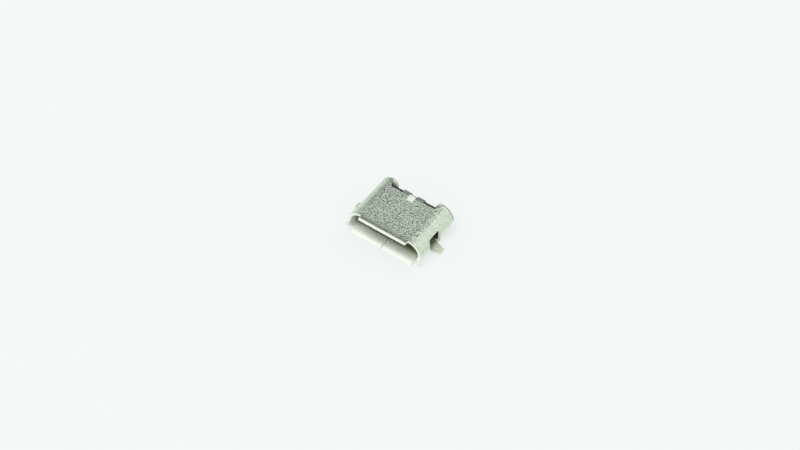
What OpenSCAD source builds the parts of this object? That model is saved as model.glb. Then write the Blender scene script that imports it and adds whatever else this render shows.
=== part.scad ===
// Micro USB socket for the edge of a circuit board.
// X runs across the mouth, Y runs from the mouth to the back, and Z = 0 is the board's surface.
// The lips stand out in front of Y = 0, where the side walls start.
// The radius of a bend is always the one on its inside.

/* [Plug opening] */
// Width of the opening between the side walls
opening_w = 6.9; // [6.6:0.05:7.6]
// Height of the opening between floor and roof
opening_h = 1.85; // [1.75:0.05:2.3]

/* [Shell section] */
// Thickness of the folded sheet
sheet = 0.25; // [0.2:0.01:0.3]
// Radius of the large bends from the roof into the side walls
corner_r = 1.1; // [0.9:0.02:1.14]
// Radius of the bends from the side walls into the floor
floor_r = 0.2; // [0.1:0.01:0.3]

/* [Shell length] */
// Length of the roof, behind the front edge of the side walls
roof_d = 4.2; // [4:0.05:5]
// How much shorter the floor is than the roof
floor_short = 0.25; // [0.2:0.01:0.5]
// Width of the gap in the floor where the sheet's two edges meet
seam_gap = 0.06; // [0.03:0.01:0.1]
// Length of the dovetail's root, half-way along the seam
dovetail_root = 0.6; // [0.4:0.02:0.8]
// How far the dovetail reaches across the seam
dovetail_reach = 0.45; // [0.3:0.01:0.6]
// How far the dovetail widens on each side towards its tip
dovetail_flare = 0.15; // [0.05:0.01:0.2]

/* [Mouth] */
// Straight root of each lip, and radius of the corners beside the upper and the lower ones
lip_run = 0.1; // [0.06:0.01:0.2]
// Radius of the upper lip's flare
upper_lip_r = 0.5; // [0.2:0.05:0.8]
// Angle of the upper lip's flare
upper_lip_angle = 20; // [10:1:40]
// Straight end of the upper lip
upper_lip_end = 0.12; // [0.05:0.01:0.2]
// Distance from the floor's bends in to the ends of the lower lips
lower_lip_inset = 0.2; // [0.05:0.01:0.4]
// Radius of the lower lips' flare
lower_lip_r = 0.12; // [0.08:0.01:0.3]
// Angle of the lower lips' flare
lower_lip_angle = 52; // [20:1:60]
// Straight end of the lower lips
lower_lip_end = 0.09; // [0.03:0.01:0.12]
// Radius of the side lips' flare
side_lip_r = 0.12; // [0.08:0.01:0.3]
// Angle of the side lips' flare
side_lip_angle = 35; // [20:1:45]
// Straight end of the side lips
side_lip_end = 0.1; // [0.05:0.01:0.2]

/* [Rear of the roof] */
// Radius of the bends at the rear
rear_bend_r = 0.1; // [0.06:0.01:0.2]
// Distance from the roof's round corners in to the ends of its straight rear edge
rear_inset = 0.16; // [0.1:0.01:0.2]
// How far the edges that slant back from those ends run out to the sides
slant_w = 0.36; // [0.3:0.01:0.5]
// How far those slanted edges run back
slant_d = 0.55; // [0.3:0.01:0.7]
// Width of the slot round the middle tab
slot_w = 0.7; // [0.6:0.02:1]
// Length of the slot round the middle tab
slot_d = 0.51; // [0.4:0.01:0.6]
// Gap on each side of the middle tab
slot_gap = 0.04; // [0.03:0.01:0.1]
// Angle at which the middle tab is lifted
lift_angle = 14; // [5:1:25]
// Straight end of the middle tab
lift_end = 0.55; // [0.4:0.01:0.7]
// Width of each tab that is crimped over the insulator
crimp_w = 0.7; // [0.5:0.02:1]
// How far the crimped tabs run straight back before they turn down
crimp_run = 0.2; // [0.1:0.01:0.3]
// Angle of the crimped tabs
crimp_angle = 60; // [30:1:70]
// Straight end of the crimped tabs
crimp_end = 0.1; // [0.05:0.01:0.2]

/* [Rear flaps] */
// Distance from the roof's rear edge to the flaps' rear face
flap_past_roof = 0.88; // [0.8:0.02:1.2]
// Distance from the roof's upper face up to the top of the flap's rounding
flap_rise = 0.06; // [0:0.01:0.2]
// Distance from the outside of the wall to the middle of the flap's rounding
flap_inset = 1.08; // [1:0.01:1.3]
// Radius of the flap's rounding
flap_r = 0.64; // [0.5:0.01:0.7]
// Gap between a flap and the round corner that it stands in
flap_gap = 0.05; // [0.02:0.01:0.06]
// Height of the notch between a flap's bend and the round corner above it
flap_notch = 0.1; // [0.05:0.01:0.3]

/* [Side windows and feet] */
// Distance from the mouth to the front edge of a side window
window_y = 1.45; // [1.2:0.01:1.6]
// Length of a side window
window_d = 1.62; // [1.5:0.02:1.8]
// Distance from the roof's upper face down to a side window's top edge
window_drop = 0.65; // [0.4:0.05:0.8]
// Radius of a side window's upper corners
window_r = 0.25; // [0.1:0.01:0.4]
// How far a foot reaches out past the side wall
foot_reach = 0.73; // [0.5:0.01:1.2]
// Width of a foot where it leaves the floor
foot_root_w = 1.2; // [0.8:0.02:1.3]
// How far the foot's root lies behind the middle of the window
foot_lean = 0.13; // [0:0.01:0.15]
// Width of a foot at its end
foot_end_w = 0.68; // [0.5:0.02:0.8]
// Radius of the foot's outer corners
foot_corner_r = 0.14; // [0.05:0.01:0.2]
// Diameter of the solder hole in a foot
foot_hole_d = 0.3; // [0.2:0.02:0.4]
// Distance from the foot's end to the middle of its hole
foot_hole_inset = 0.6; // [0.4:0.01:0.65]

/* [Insulator] */
// Gap between the insulator and what holds it
fit = 0.02; // [0.01:0.005:0.04]
// Distance from the outer contacts to the tongue's sides
tongue_margin = 0.28; // [0.15:0.01:0.4]
// Thickness of the tongue
tongue_h = 0.6; // [0.5:0.02:0.7]
// Gap between the roof and the tongue
tongue_gap = 0.42; // [0.3:0.02:0.5]
// Distance from the mouth to the tongue's front
tongue_y = 0.5; // [0.4:0.05:0.8]
// Bevel round the tongue's front
tongue_bevel = 0.12; // [0.05:0.01:0.2]
// Distance from the mouth to the front of the rear block
block_y = 3.1; // [2.9:0.05:3.4]
// How far the block runs out past the roof
block_past_roof = 0.42; // [0.38:0.01:0.48]
// Distance from the floor's bends in to the sides of the heel
heel_inset = 0.75; // [0.4:0.01:1.2]

/* [Contacts] */
// Distance between the contacts
contact_pitch = 0.65; // [0.5:0.01:0.7]
// Width of a contact
contact_w = 0.34; // [0.25:0.01:0.4]
// Thickness of the contact strip
contact_t = 0.15; // [0.1:0.01:0.2]
// How far the contacts stand out of the tongue's underside
contact_proud = 0.04; // [0.02:0.01:0.06]
// Distance from the tongue's front to the longer, outer contacts
contact_set_back = 0.25; // [0.2:0.01:0.4]
// How much further back the shorter, inner contacts start
contact_stagger = 0.4; // [0.2:0.02:0.6]
// Radius of the contacts' bends
contact_bend_r = 0.15; // [0.08:0.01:0.2]
// Length of the flat tail, behind the bend
tail_d = 0.4; // [0.3:0.02:0.8]

/* [Hidden] */
$fn = 72;
contact_count = 5;

// Reach of the cutting bodies past what they cut
past = 1;
// Depth to which parts that are made as one piece run into each other
weld = 0.05;

half_w = opening_w / 2 + sheet;
roof_z = opening_h + 2 * sheet;
roof_under = roof_z - sheet;

// Flat parts of the roof, the walls and the floor, between their bends
roof_half = half_w - corner_r - sheet;
wall_top = roof_z - corner_r - sheet;
wall_bottom = floor_r + sheet;
floor_half = half_w - floor_r - sheet;
lower_lip_half = floor_half - lower_lip_inset;
floor_d = roof_d - floor_short;

// Rear of the roof and flaps
rear_half = roof_half - rear_inset;
ear_x = rear_half + slant_w;
flap_d = roof_d + flap_past_roof;
flap_front = flap_d - sheet;
wall_d = flap_front - rear_bend_r;
flap_end = half_w - sheet - rear_bend_r;
flap_x = half_w - flap_inset;
flap_inner = flap_x - flap_r;

// Side windows and feet
window_top = roof_z - window_drop;
foot_y = window_y + window_d / 2;
foot_end = half_w + foot_reach;

// Insulator and contacts
tongue_w = (contact_count - 1) * contact_pitch + contact_w + 2 * tongue_margin;
tongue_top = roof_under - tongue_gap;
tongue_bottom = tongue_top - tongue_h;
block_top = roof_under - fit;
block_half = opening_w / 2 - fit;
block_d = roof_d + block_past_roof;
heel_half = floor_half - heel_inset;
contact_bottom = tongue_bottom - contact_proud;

// A straight run of sheet, and the bends that turn it to its inner or its outer side.
// Each draws its own part of the section and sets its child at its end.
module run(length, t = sheet) {
    translate([0, -t]) square([length, t]);
    translate([length, 0]) children();
}

module bend_in(r, angle, t = sheet) {
    translate([0, -r - t]) {
        sector(r, r + t, -angle);
        rotate(-angle) translate([0, r + t]) children();
    }
}

module bend_out(r, angle, t = sheet) {
    translate([0, r]) {
        sector(r, r + t, angle);
        rotate(angle) translate([0, -r]) children();
    }
}

// Part of a ring, from its upright edge to that edge turned
module sector(inner, outer, turn) {
    far = 2 * outer;
    intersection() {
        difference() {
            circle(outer);
            circle(inner);
        }
        translate([0, -far]) square([far, 2 * far]);
        rotate(turn) translate([-far, -far]) square([far, 2 * far]);
    }
}

// Quarter of a disc, which runs on into what lies beside it
module quarter(r) {
    intersection() {
        circle(r);
        translate([-weld, -weld]) square(r + past);
    }
}

// Extrudes a section that is drawn as X and Z along Y, or one drawn as Y and Z along X
module along_y(from, to) {
    translate([0, to, 0]) rotate([90, 0, 0]) linear_extrude(to - from) children();
}

module along_x(from, to) {
    translate([from, 0, 0]) rotate([90, 0, 90]) linear_extrude(to - from) children();
}

module both_sides() {
    children();
    mirror([1, 0, 0]) children();
}

// Right half of the shell's section, from the middle of the roof round to the seam
module half_section() {
    translate([0, roof_z])
        run(roof_half)
        bend_in(corner_r, 90)
        run(wall_top - wall_bottom)
        bend_in(floor_r, 90)
        run(floor_half + weld);
}

// What is cut away at the mouth's corners, between the side lips and the upper and lower ones
module mouth_cut() {
    translate([0, 0, wall_top]) linear_extrude(roof_z) beside_lip(roof_half);
    translate([0, 0, -past]) linear_extrude(wall_bottom + past) beside_lip(lower_lip_half);
}

module beside_lip(lip_half) {
    translate([lip_half + lip_run, -lip_run]) {
        circle(lip_run);
        translate([0, -past]) square([half_w, past + lip_run]);
    }
}

// What is cut away behind the roof, between the round corners, which run on to the rear
module roof_cut() {
    translate([0, 0, wall_top])
        linear_extrude(roof_z)
        polygon([
            [-rear_half, roof_d],
            [rear_half, roof_d],
            [ear_x, roof_d + slant_d],
            [ear_x, flap_d + past],
            [-ear_x, flap_d + past],
            [-ear_x, roof_d + slant_d]
        ]);
}

// What is cut away behind the floor, and behind the walls where the flaps turn in
module floor_cut() {
    translate([-half_w - past, floor_d, -past])
        cube([2 * (half_w + past), flap_d, wall_bottom + past]);
    translate([-half_w - past, wall_d, -past])
        cube([2 * (half_w + past), flap_d, wall_top + flap_notch + past]);
}

module window_cut() {
    corner_z = window_top - window_r;
    along_x(floor_half, half_w + past) {
        translate([window_y, -past]) square([window_d, corner_z + past]);
        translate([window_y + window_r, -past]) square([window_d - 2 * window_r, window_top + past]);
        for (y = [window_y + window_r, window_y + window_d - window_r])
            translate([y, corner_z]) circle(window_r);
    }
}

// Seam in the floor, with one dovetail half-way along it
module seam_cut() {
    gap = seam_gap / 2;
    root = dovetail_root / 2;
    translate([0, floor_d / 2, -past])
        linear_extrude(sheet + 2 * past)
        difference() {
            union() {
                translate([-gap, -floor_d]) square([seam_gap, 2 * floor_d]);
                dovetail(root + gap, -gap, dovetail_reach + gap);
            }
            dovetail(root - gap, -past, dovetail_reach - gap);
        }
}

module dovetail(root, from, to) {
    slope = dovetail_flare / dovetail_reach;
    polygon([
        [from, -root - slope * from],
        [to, -root - slope * to],
        [to, root + slope * to],
        [from, root + slope * from]
    ]);
}

// Flared lips: one on the roof, one on each half of the floor and one on each side wall
module lips() {
    root = lip_run - weld;
    mirror([0, 1, 0])
        translate([0, root, roof_z])
        along_x(-roof_half, roof_half)
        run(weld)
        bend_out(upper_lip_r, upper_lip_angle)
        run(upper_lip_end);
    both_sides() {
        mirror([0, 1, 0])
            mirror([0, 0, 1])
            translate([0, root, 0])
            along_x(seam_gap / 2, lower_lip_half)
            run(weld)
            bend_out(lower_lip_r, lower_lip_angle)
            run(lower_lip_end);
        translate([half_w, -root, wall_bottom])
            linear_extrude(wall_top - wall_bottom)
            rotate(-90)
            run(weld)
            bend_out(side_lip_r, side_lip_angle)
            run(side_lip_end);
    }
}

module slot() {
    translate([-slot_w / 2, roof_d - slot_d, roof_under - past])
        cube([slot_w, slot_d + past, sheet + 2 * past]);
}

// Middle tab, which is lifted out of its slot, and the two crimped tabs beside it
module rear_tabs() {
    lift_half = slot_w / 2 - slot_gap;
    translate([0, roof_d - slot_d - weld, roof_z])
        along_x(-lift_half, lift_half)
        run(weld)
        bend_out(rear_bend_r, lift_angle)
        run(lift_end);
    both_sides()
        translate([0, roof_d - weld, roof_z])
        along_x(slot_w / 2, slot_w / 2 + crimp_w)
        run(weld + crimp_run)
        bend_in(rear_bend_r, crimp_angle)
        run(crimp_end);
}

// Flap that folds in behind the insulator from the end of the side wall.
// It stands inside the round corner, and its rounding shows beside that.
module rear_flap() {
    lobe_z = roof_z + flap_rise - flap_r;
    translate([half_w, wall_d - weld, wall_bottom])
        linear_extrude(wall_top - wall_bottom)
        mirror([1, -1])
        run(weld)
        bend_in(rear_bend_r, 90)
        run(weld);
    along_y(flap_front, flap_d)
        intersection() {
            union() {
                intersection() {
                    translate([flap_x, lobe_z]) circle(flap_r);
                    square([ear_x - flap_gap, half_w]);
                }
                translate([flap_inner, 0]) square([ear_x - flap_gap - flap_inner, lobe_z]);
                intersection() {
                    translate([roof_half, wall_top]) circle(corner_r - flap_gap);
                    translate([roof_half, 0]) square([half_w, roof_z]);
                }
            }
            translate([0, wall_bottom]) square([flap_end, half_w]);
        }
}

// Foot: the floor runs straight out through the side window
module foot() {
    corner_x = foot_end - foot_corner_r;
    corner_y = foot_end_w / 2 - foot_corner_r;
    translate([0, foot_y, 0])
        linear_extrude(sheet)
        difference() {
            union() {
                polygon([
                    [floor_half - weld, foot_lean - foot_root_w / 2],
                    [corner_x, -foot_end_w / 2],
                    [corner_x, foot_end_w / 2],
                    [floor_half - weld, foot_lean + foot_root_w / 2]
                ]);
                translate([corner_x - foot_corner_r, -corner_y])
                    square([2 * foot_corner_r, 2 * corner_y]);
                for (y = [-corner_y, corner_y])
                    translate([corner_x, y]) circle(foot_corner_r);
            }
            translate([foot_end - foot_hole_inset, foot_lean / 2]) circle(d = foot_hole_d);
        }
}

module shell() {
    color("silver") {
        difference() {
            along_y(-lip_run, flap_d) both_sides() half_section();
            both_sides() mouth_cut();
            roof_cut();
            floor_cut();
            slot();
            seam_cut();
            both_sides() window_cut();
        }
        lips();
        rear_tabs();
        both_sides() {
            rear_flap();
            foot();
        }
    }
}

// Section of the rear block, which fills the shell between its side walls
module block_section() {
    inset = sheet + fit;
    translate([-roof_half, inset]) square([2 * roof_half, block_top - inset]);
    translate([-floor_half, inset]) square([2 * floor_half, wall_top - inset]);
    translate([-block_half, wall_bottom]) square([2 * block_half, wall_top - wall_bottom]);
    both_sides() {
        translate([roof_half, wall_top]) quarter(corner_r - fit);
        translate([floor_half, wall_bottom]) mirror([0, 1]) quarter(floor_r - fit);
    }
}

// Tongue, seen from the side, with its bevelled front
module tongue_section() {
    polygon([
        [tongue_y, tongue_bottom + tongue_bevel],
        [tongue_y + tongue_bevel, tongue_bottom],
        [block_y + weld, tongue_bottom],
        [block_y + weld, tongue_top],
        [tongue_y + tongue_bevel, tongue_top],
        [tongue_y, tongue_top - tongue_bevel]
    ]);
}

// Rear corners of the block, which the shell's flaps close in
module shoulders() {
    intersection() {
        along_y(block_d - weld, flap_front - fit) block_section();
        both_sides()
            translate([flap_inner, roof_d, wall_bottom])
            cube([flap_end - flap_inner, flap_d, wall_top - wall_bottom]);
    }
}

// Heel of the block, which stands on the board behind the shell's floor
module heel() {
    translate([-heel_half, floor_d + fit, 0])
        cube([2 * heel_half, block_d - floor_d - fit, wall_bottom]);
}

// Room for the ends of the crimped tabs, which turn down over the block's rear edge
module crimp_room() {
    drop = sheet + rear_bend_r * (1 - cos(crimp_angle)) + crimp_end * sin(crimp_angle);
    both_sides()
        translate([slot_w / 2 - fit, roof_d + crimp_run - fit, roof_z - drop - fit])
        cube([crimp_w + 2 * fit, block_d, past]);
}

module insulator() {
    color("#202020")
        difference() {
            union() {
                along_y(block_y, block_d) block_section();
                shoulders();
                along_x(-tongue_w / 2, tongue_w / 2) tongue_section();
                heel();
            }
            crimp_room();
            for (i = [1 : contact_count]) contact_room(i);
        }
}

function contact_x(i) = (i - (contact_count + 1) / 2) * contact_pitch;

// The two outer contacts start further forward than the inner ones
function contact_front(i) =
    tongue_y + contact_set_back + (i == 1 || i == contact_count ? 0 : contact_stagger);

module contact_room(i) {
    half = contact_w / 2 + fit;
    translate([contact_x(i) - half, contact_front(i) - fit, contact_bottom - fit])
        cube([2 * half, flap_d, contact_t + 2 * fit]);
}

// Strip that runs under the tongue and through the block, then down to the board
module contact(i) {
    front = contact_front(i);
    drop = contact_bottom - 2 * contact_bend_r - contact_t;
    color("gold")
        translate([contact_x(i), front, contact_bottom + contact_t])
        along_x(-contact_w / 2, contact_w / 2)
        run(block_d - front, contact_t)
        bend_in(contact_bend_r, 90, contact_t)
        run(drop, contact_t)
        bend_out(contact_bend_r, 90, contact_t)
        run(tail_d, contact_t);
}

shell();
insulator();
contact(1);  // contact_1
contact(2);  // contact_2
contact(3);  // contact_3
contact(4);  // contact_4
contact(5);  // contact_5
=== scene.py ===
"""Micro USB socket: a folded shell, a moulded insulator and five contact strips on a plain pale stage."""

import math
from types import SimpleNamespace

import bmesh
import bpy
from mathutils import Matrix, Quaternion, Vector


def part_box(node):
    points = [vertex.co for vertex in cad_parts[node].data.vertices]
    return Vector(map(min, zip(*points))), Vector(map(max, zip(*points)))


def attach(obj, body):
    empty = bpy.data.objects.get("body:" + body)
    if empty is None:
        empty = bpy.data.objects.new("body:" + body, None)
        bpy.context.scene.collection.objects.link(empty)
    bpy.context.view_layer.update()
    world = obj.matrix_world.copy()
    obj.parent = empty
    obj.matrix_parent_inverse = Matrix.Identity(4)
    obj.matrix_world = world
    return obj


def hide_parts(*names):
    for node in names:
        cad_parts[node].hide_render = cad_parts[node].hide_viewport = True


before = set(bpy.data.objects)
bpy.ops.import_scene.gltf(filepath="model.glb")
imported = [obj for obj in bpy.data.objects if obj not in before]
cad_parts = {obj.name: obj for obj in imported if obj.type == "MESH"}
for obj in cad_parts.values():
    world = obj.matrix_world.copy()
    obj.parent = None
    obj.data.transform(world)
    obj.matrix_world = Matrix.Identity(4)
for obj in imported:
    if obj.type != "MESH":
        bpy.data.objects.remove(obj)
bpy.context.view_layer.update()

bl_info = {
    "name": "Micro USB Socket",
    "version": (1, 0, 0),
    "blender": (4, 5, 0),
    "location": "View3D > Sidebar > Socket",
    "description": "Folds, moulds and forms the pieces of a micro USB socket and sets them on a stage",
    "category": "Add Mesh",
}

# Pieces are modelled in millimetres and brought to metres when they are done
MM = 0.001
# Two points this close, in millimetres, are taken as one
CLOSE = 1e-4
# Points this close to a cut, in millimetres, are taken as lying on it
CUT_CLOSE = CLOSE / 10
# A bend has about one face for each of these angles
BEND_STEP = math.radians(7.5)
# Number of straight cuts in a cut quarter circle
QUARTER_STEPS = 8
# Numbers of faces across a foot's corner, a softened edge and a long edge of the block, and round a drill
FOOT_CORNER_STEPS = 10
SOFT_EDGE_STEPS = 2
BLOCK_EDGE_STEPS = 12
DRILL_SIDES = 40
# Edges sharper than this are softened, and stay edges in the shading
SHARP_ANGLE = math.radians(40)
# How far two parts of the moulding overlap, in millimetres, before they are joined
WELD = 0.05
# Most of a noise's values lie in this range
NOISE_RANGE = (0.3, 0.7)
# Places of the shell's finishes in its list: the outer face comes first, and the painted shade last
EDGE_FINISH, INNER_FINISH, PAINTED_SHADE_FINISH = 1, 2, 3

SHELL_LOW, SHELL_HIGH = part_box("shell")
INSULATOR_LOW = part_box("insulator")[0]
CONTACT_NODES = sorted(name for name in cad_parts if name.startswith("contact"))


# Sizes and colours that can be changed


def length(name, description, millimetres):
    """A length property, with its default in millimetres."""
    return bpy.props.FloatProperty(
        name=name, description=description, default=millimetres * MM, unit="LENGTH", precision=6
    )


def angle(name, description, degrees):
    """An angle property, with its default in degrees."""
    return bpy.props.FloatProperty(
        name=name, description=description, default=math.radians(degrees), subtype="ANGLE"
    )


def colour(name, description, rgb):
    """A colour property, in linear light."""
    return bpy.props.FloatVectorProperty(
        name=name, description=description, default=rgb, subtype="COLOR", min=0, max=1
    )


def amount(name, description, default):
    """A plain number."""
    return bpy.props.FloatProperty(name=name, description=description, default=default)


def vector(name, description, xyz, subtype):
    """A place in metres, or a direction."""
    return bpy.props.FloatVectorProperty(
        name=name, description=description, default=xyz, subtype=subtype
    )


class ShellSizes(bpy.types.PropertyGroup):
    """Sizes of the folded shell. A bend's radius is the one on its inside."""

    sheet: length("Sheet", "Thickness of the sheet", 0.25)
    edge_round: length("Edge rounding", "Rounding of the sheet's cut edges", 0.022)
    corner_r: length("Corner radius", "Radius between the roof and the side walls", 1.1)
    floor_r: length("Floor radius", "Radius between the side walls and the floor", 0.2)
    floor_short: length("Floor set-back", "How much shorter the floor is than the roof", 0.25)
    seam_gap: length("Seam gap", "Gap between the floor's two edges", 0.06)
    dovetail_root: length("Dovetail root", "Length of the dovetail's root", 0.6)
    dovetail_reach: length("Dovetail reach", "How far the dovetail crosses the seam", 0.45)
    dovetail_flare: length("Dovetail flare", "How far the dovetail widens on each side", 0.15)
    lip_run: length("Lip run", "Straight run before the lips flare, and radius of the corners by them", 0.1)
    upper_lip_r: length("Upper lip radius", "Radius of the upper lip's flare", 0.5)
    upper_lip: angle("Upper lip", "Angle of the upper lip's flare", 20)
    upper_lip_end: length("Upper lip end", "Straight end of the upper lip", 0.12)
    lower_lip_inset: length("Lower lip inset", "Distance from the floor's bends to the lower lips", 0.2)
    lower_lip_r: length("Lower lip radius", "Radius of the lower lips' flare", 0.12)
    lower_lip: angle("Lower lips", "Angle of the lower lips' flare", 52)
    lower_lip_end: length("Lower lip end", "Straight end of the lower lips", 0.09)
    side_lip_r: length("Side lip radius", "Radius of the side lips' flare", 0.12)
    side_lip: angle("Side lips", "Angle of the side lips' flare", 35)
    side_lip_end: length("Side lip end", "Straight end of the side lips", 0.1)
    rear_bend_r: length("Rear bend radius", "Radius of the bends at the rear", 0.1)
    rear_inset: length("Rear inset", "Distance from the round corners to the slants behind the roof", 0.16)
    slant_w: length("Slant width", "Width of the slants behind the roof", 0.36)
    slant_d: length("Slant length", "Length of the slants behind the roof", 0.55)
    slot_w: length("Slot width", "Width of the slot round the middle tab", 0.7)
    slot_d: length("Slot length", "Length of the slot round the middle tab", 0.51)
    slot_gap: length("Slot gap", "Gap on each side of the middle tab", 0.04)
    lift_angle: angle("Middle tab", "Angle at which the middle tab is lifted", 14)
    lift_end: length("Middle tab end", "Straight end of the middle tab", 0.55)
    crimp_w: length("Crimped tab width", "Width of each crimped tab", 0.7)
    crimp_run: length("Crimped tab run", "Straight run of the crimped tabs behind the roof", 0.2)
    crimp_angle: angle("Crimped tabs", "Angle of the crimped tabs", 60)
    crimp_end: length("Crimped tab end", "Straight end of the crimped tabs", 0.1)
    flap_past_roof: length("Flap place", "Distance from the roof's rear edge to the flaps' rear face", 0.88)
    flap_rise: length("Flap rise", "Height of the flap's round top above the roof", 0.06)
    flap_inset: length("Flap inset", "Distance from the wall to the middle of the flap's rounding", 1.08)
    flap_r: length("Flap radius", "Radius of the flap's rounding", 0.64)
    flap_gap: length("Flap gap", "Gap between a flap and the round corner that it stands in", 0.05)
    # The end band is painted shade along the round corners' rear ends
    end_band: length("End band", "Width of the tarnish along the round corners' rear ends", 0.1)
    flap_notch: length("Flap notch", "Height of the notch above a flap's bend", 0.1)
    window_y: length("Window place", "Distance from the mouth to a side window", 1.45)
    window_d: length("Window length", "Length of a side window", 1.62)
    window_drop: length("Window drop", "Depth below the roof of a side window's top", 0.65)
    window_r: length("Window radius", "Radius of a side window's corners", 0.25)
    foot_reach: length("Foot reach", "How far a foot reaches past the wall", 0.73)
    foot_root_w: length("Foot root", "Width of a foot at the floor", 1.2)
    foot_lean: length("Foot lean", "How far a foot's root lies behind its end", 0.13)
    foot_end_w: length("Foot end", "Width of a foot at its end", 0.68)
    foot_corner_r: length("Foot corner", "Radius of the foot's outer corners", 0.14)
    foot_hole_d: length("Foot hole", "Diameter of the hole in a foot", 0.3)
    foot_hole_inset: length("Hole inset", "Distance from the foot's end to its hole", 0.6)


class InsulatorSizes(bpy.types.PropertyGroup):
    """Sizes of the moulded insulator and its clearances."""

    fit: length("Fit", "Gap between the insulator and what holds it", 0.02)
    edge_round: length("Edge rounding", "Rounding of the moulded edges", 0.03)
    tongue_half: length("Tongue half width", "Half the width of the tongue", 1.75)
    tongue_h: length("Tongue thickness", "Thickness of the tongue", 0.6)
    tongue_gap: length("Tongue gap", "Gap between the roof and the tongue", 0.42)
    tongue_bevel: length("Tongue bevel", "Bevel at the tongue's front", 0.12)
    block_y: length("Block place", "Distance from the mouth to the rear block", 3.1)
    block_past_roof: length("Block overhang", "How far the block runs out past the roof", 0.42)
    heel_inset: length("Heel inset", "Distance from the floor's bends to the heel's sides", 0.75)


class ContactSizes(bpy.types.PropertyGroup):
    """Sizes of the contact strips."""

    thick: length("Thickness", "Thickness of a contact strip", 0.15)
    bend_r: length("Bend radius", "Radius of the strips' bends", 0.15)
    tip_taper: length("Tip taper", "How far a strip narrows on each side at its tip", 0.06)
    edge_round: length("Edge rounding", "Rounding of the strips' edges", 0.012)


class Finishes(bpy.types.PropertyGroup):
    """Colours of the finishes."""

    tin_light: colour("Tin, light", "Bright grains of the plating", (0.71, 0.81, 0.667))
    tin_dark: colour("Tin, dark", "Dull pits in the plating", (0.375, 0.478, 0.388))
    # Painted reflection of the white floor, mixed into the walls towards their bottom
    painted_floor_reflection: colour("Tin, bright", "Smooth plating low on the walls", (0.91, 0.945, 0.895))
    # Painted shade on the crimped tabs and along the round corners' rear ends
    painted_shade: colour("Tarnish", "Dulled crimped tabs and ends of the round corners", (0.36, 0.405, 0.375))
    inner: colour("Inner face", "Matte inner face of the sheet", (0.91, 0.965, 0.875))
    # Painted shade for the inner face deep inside the mouth
    inner_painted_shade: colour("Inner face, deep", "Inner face away from the mouth", (0.165, 0.24, 0.105))
    # The sheared edges' own pale colour, also used as a painted highlight on the middle tab and along the
    # shell's softened edges
    edge: colour("Cut edge", "Sheared edges of the sheet", (0.88, 0.95, 0.84))
    plastic: colour("Insulator", "Black moulded plastic", (0.012, 0.015, 0.012))
    gold: colour("Contacts", "Thin gold plate", (0.86, 0.63, 0.27))
    floor: colour("Floor", "Pale card under the socket", (0.915, 0.957, 0.94))


class StageSizes(bpy.types.PropertyGroup):
    """The camera, which looks down on the socket's right front corner, the floor and the light."""

    azimuth: angle("Azimuth", "Turn of the camera round the socket", 31.88)
    elevation: angle("Elevation", "Height of the camera above the horizon", 49.44)
    roll: angle("Roll", "Turn of the camera about its own axis", 3.3)
    distance: length("Distance", "Distance of the camera from its target", 96)
    lens: amount("Lens", "Focal length in millimetres", 50.9)
    sensor_w: amount("Sensor", "Width of the camera's sensor in millimetres", 36)
    target_y: length("Target depth", "Distance from the mouth to the camera's target", 2.2)
    target_z: length("Target height", "Height of the camera's target", 1.2)
    shift_right: length("Shift right", "How far the camera looks to the right of its target", 0.0985)
    shift_down: length("Shift down", "How far the camera looks below its target", 0.367)
    nearest: length("Nearest", "Distance from which the camera sees", 1)
    farthest: length("Farthest", "Distance up to which the camera sees", 10000)
    floor_w: length("Floor width", "Width of the floor", 3000)
    lamp_place: vector("Lamp place", "Place of the soft lamp", (-0.2, -0.42, 1.1), "TRANSLATION")
    lamp_w: length("Lamp width", "Width of the soft lamp", 500)
    lamp_power: amount("Lamp power", "Power of the soft lamp in watts", 4.3)
    corner_heading: vector(
        "Dark corner", "Direction of the light tent's darker corner", (-0.52, 0.69, 0.45), "DIRECTION"
    )


def in_millimetres(group):
    """A group's values by name, with its lengths in millimetres."""
    values = {}
    for key, prop in group.bl_rna.properties.items():
        if key in group.__annotations__:
            value = getattr(group, key)
            values[key] = value / MM if prop.unit == "LENGTH" else value
    return SimpleNamespace(**values)


# Bench tools for the mesh in edit mode


def near(a, b):
    return abs(a - b) < CLOSE


def between(value, low, high):
    return low - CLOSE < value < high + CLOSE


def start_piece(name, add_primitive, low, high):
    """Adds a primitive that fills a box, with nothing else selected."""
    bpy.ops.object.select_all(action="DESELECT")
    low, high = Vector(low), Vector(high)
    add_primitive(location=(low + high) / 2)
    piece = bpy.context.object
    piece.name = piece.data.name = name
    # A flat primitive keeps its scale across its thickness
    piece.scale = [size or 1 for size in high - low]
    bpy.ops.object.transform_apply(location=True, rotation=False, scale=True)
    return piece


def add_unit_plane(location):
    bpy.ops.mesh.primitive_plane_add(size=1, location=location)


def add_unit_cube(location):
    bpy.ops.mesh.primitive_cube_add(size=1, location=location)


def edit():
    bpy.ops.object.mode_set(mode="EDIT")


def leave_edit():
    bpy.ops.object.mode_set(mode="OBJECT")


def pick(kind, test, by_centre=False):
    """Selects the points, edges or faces whose points, or middle, pass a test, and nothing else."""
    bpy.ops.mesh.select_mode(type=kind)
    bpy.ops.mesh.select_all(action="DESELECT")
    data = bpy.context.edit_object.data
    mesh = bmesh.from_edit_mesh(data)
    elements = {"VERT": mesh.verts, "EDGE": mesh.edges, "FACE": mesh.faces}[kind]
    found = 0
    for element in elements:
        points = [element.co] if kind == "VERT" else [point.co for point in element.verts]
        if by_centre:
            points = [sum(points, Vector()) / len(points)]
        if all(test(point) for point in points):
            element.select_set(True)
            found += 1
    if not found:
        raise RuntimeError(f"no {kind.lower()} to pick on {bpy.context.edit_object.name}")
    bmesh.update_edit_mesh(data)


def cut(point, normal, test):
    """Cuts the faces that pass a test along a plane."""
    pick("FACE", test)
    bpy.ops.mesh.bisect(plane_co=point, plane_no=normal, threshold=CUT_CLOSE)


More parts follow.
